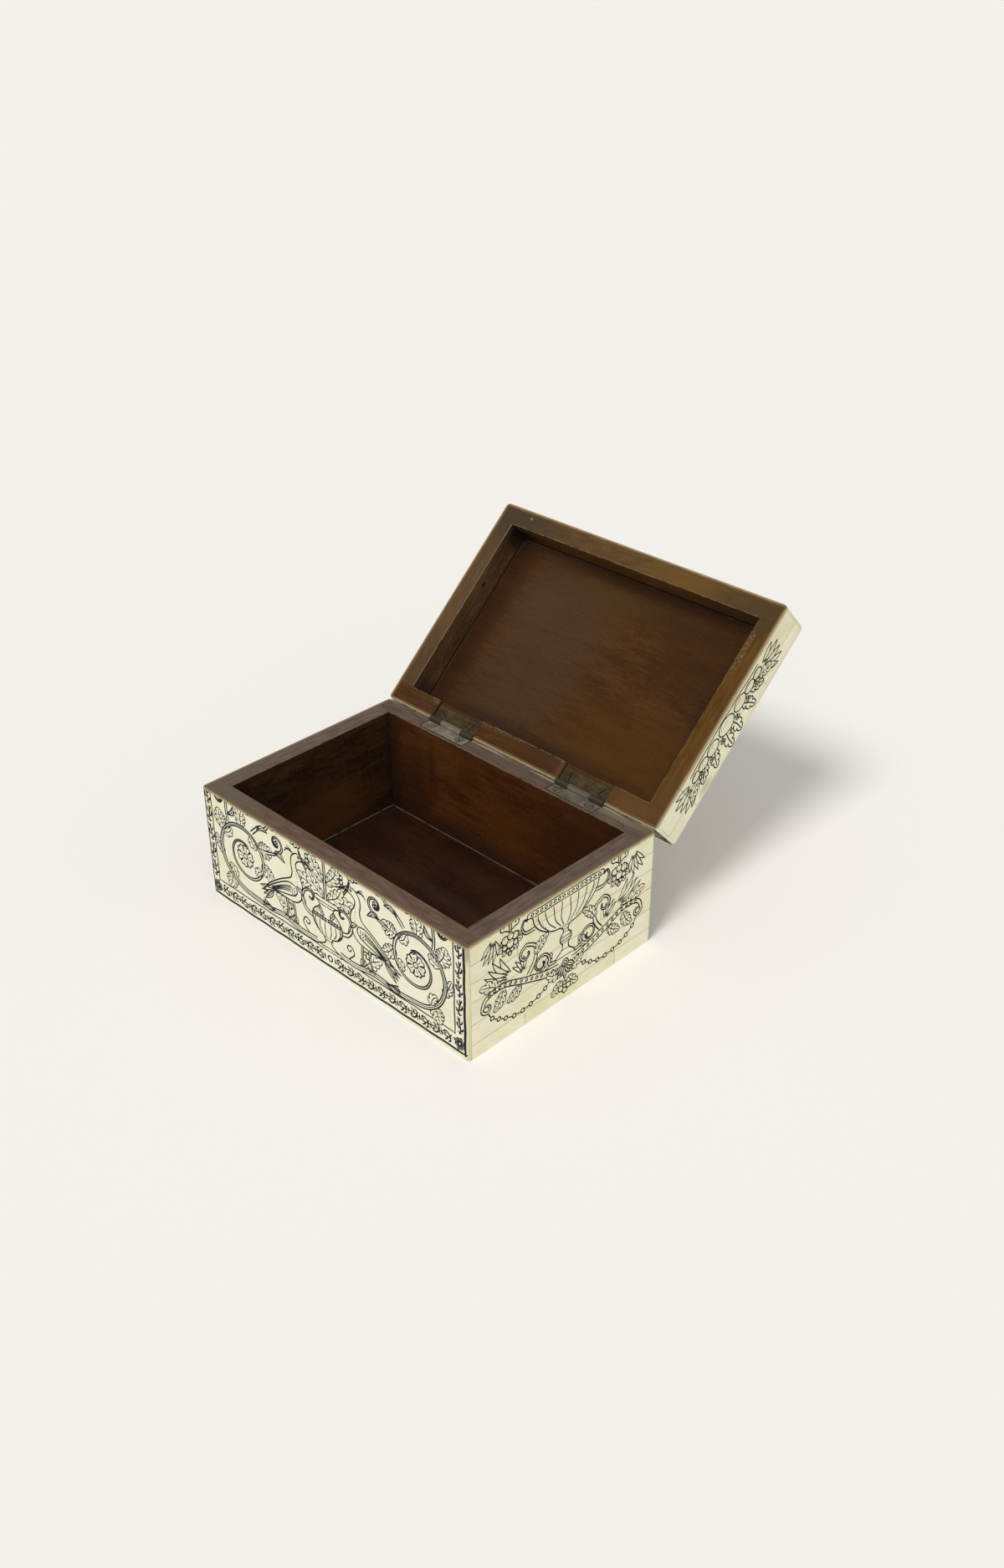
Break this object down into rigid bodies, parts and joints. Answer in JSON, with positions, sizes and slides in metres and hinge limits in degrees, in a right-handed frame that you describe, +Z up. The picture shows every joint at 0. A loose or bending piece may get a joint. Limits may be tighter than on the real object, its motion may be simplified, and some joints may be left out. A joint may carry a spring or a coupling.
{
  "type": "storage box",
  "caption": "Small wooden storage box veneered in engraved bone slips, with a shallow recessed lid standing open on two small brass butt hinges.",
  "frame": {"origin": "centre of the box's underside, on the surface that it stands on", "axes": "+X to the right along the front, +Y towards the hinged back, +Z up"},
  "size_m": [0.19, 0.2357, 0.1517],
  "materials": {
    "case_wood": "satin",
    "lid_wood": "satin",
    "panel_wood": "satin",
    "bone": "satin",
    "hinge_brass": "satin",
    "screw_brass": "satin"
  },
  "bodies": {
    "box": {"base_back_board": "case_wood", "base_back_bone_row_1": "bone", "base_back_bone_row_2": "bone", "base_back_bone_row_3": "bone", "base_back_bone_row_4": "bone", "base_back_bone_row_5": "bone", "base_back_bone_row_6": "bone", "base_floor_panel": "case_wood", "base_front_board": "case_wood", "base_front_bone": "bone", "base_hinge_screws": "screw_brass", "base_left_board": "case_wood", "base_left_bone_row_1": "bone", "base_left_bone_row_2": "bone", "base_left_bone_row_3": "bone", "base_left_bone_row_4": "bone", "base_left_bone_row_5": "bone", "base_left_bone_row_6": "bone", "base_right_board": "case_wood", "base_right_bone_row_1": "bone", "base_right_bone_row_2": "bone", "base_right_bone_row_3": "bone", "base_right_bone_row_4": "bone", "base_right_bone_row_5": "bone", "base_right_bone_row_6": "bone", "left_hinge_base_leaf": "hinge_brass", "left_hinge_pin": "hinge_brass", "right_hinge_base_leaf": "hinge_brass", "right_hinge_pin": "hinge_brass"},
    "lid": {"left_hinge_lid_leaf": "hinge_brass", "lid_back_board": "lid_wood", "lid_back_bone_row_1": "bone", "lid_back_bone_row_2": "bone", "lid_front_board": "lid_wood", "lid_front_bone": "bone", "lid_hinge_screws": "screw_brass", "lid_left_board": "lid_wood", "lid_left_bone_row_1": "bone", "lid_left_bone_row_2": "bone", "lid_right_board": "lid_wood", "lid_right_bone_row_1": "bone", "lid_right_bone_row_2": "bone", "lid_top_bone_row_1": "bone", "lid_top_bone_row_2": "bone", "lid_top_bone_row_3": "bone", "lid_top_bone_row_4": "bone", "lid_top_bone_row_5": "bone", "lid_top_bone_row_6": "bone", "lid_top_bone_row_7": "bone", "lid_top_bone_row_8": "bone", "lid_top_panel": "panel_wood", "right_hinge_lid_leaf": "hinge_brass"}
  },
  "joints": [
    {"name": "lid_hinge", "type": "hinge", "parent": "box", "child": "lid", "pos_m": [0, 0.06345, 0.06535], "axis": [1, 0, 0], "range_deg": [0, 137.5]}
  ]
}
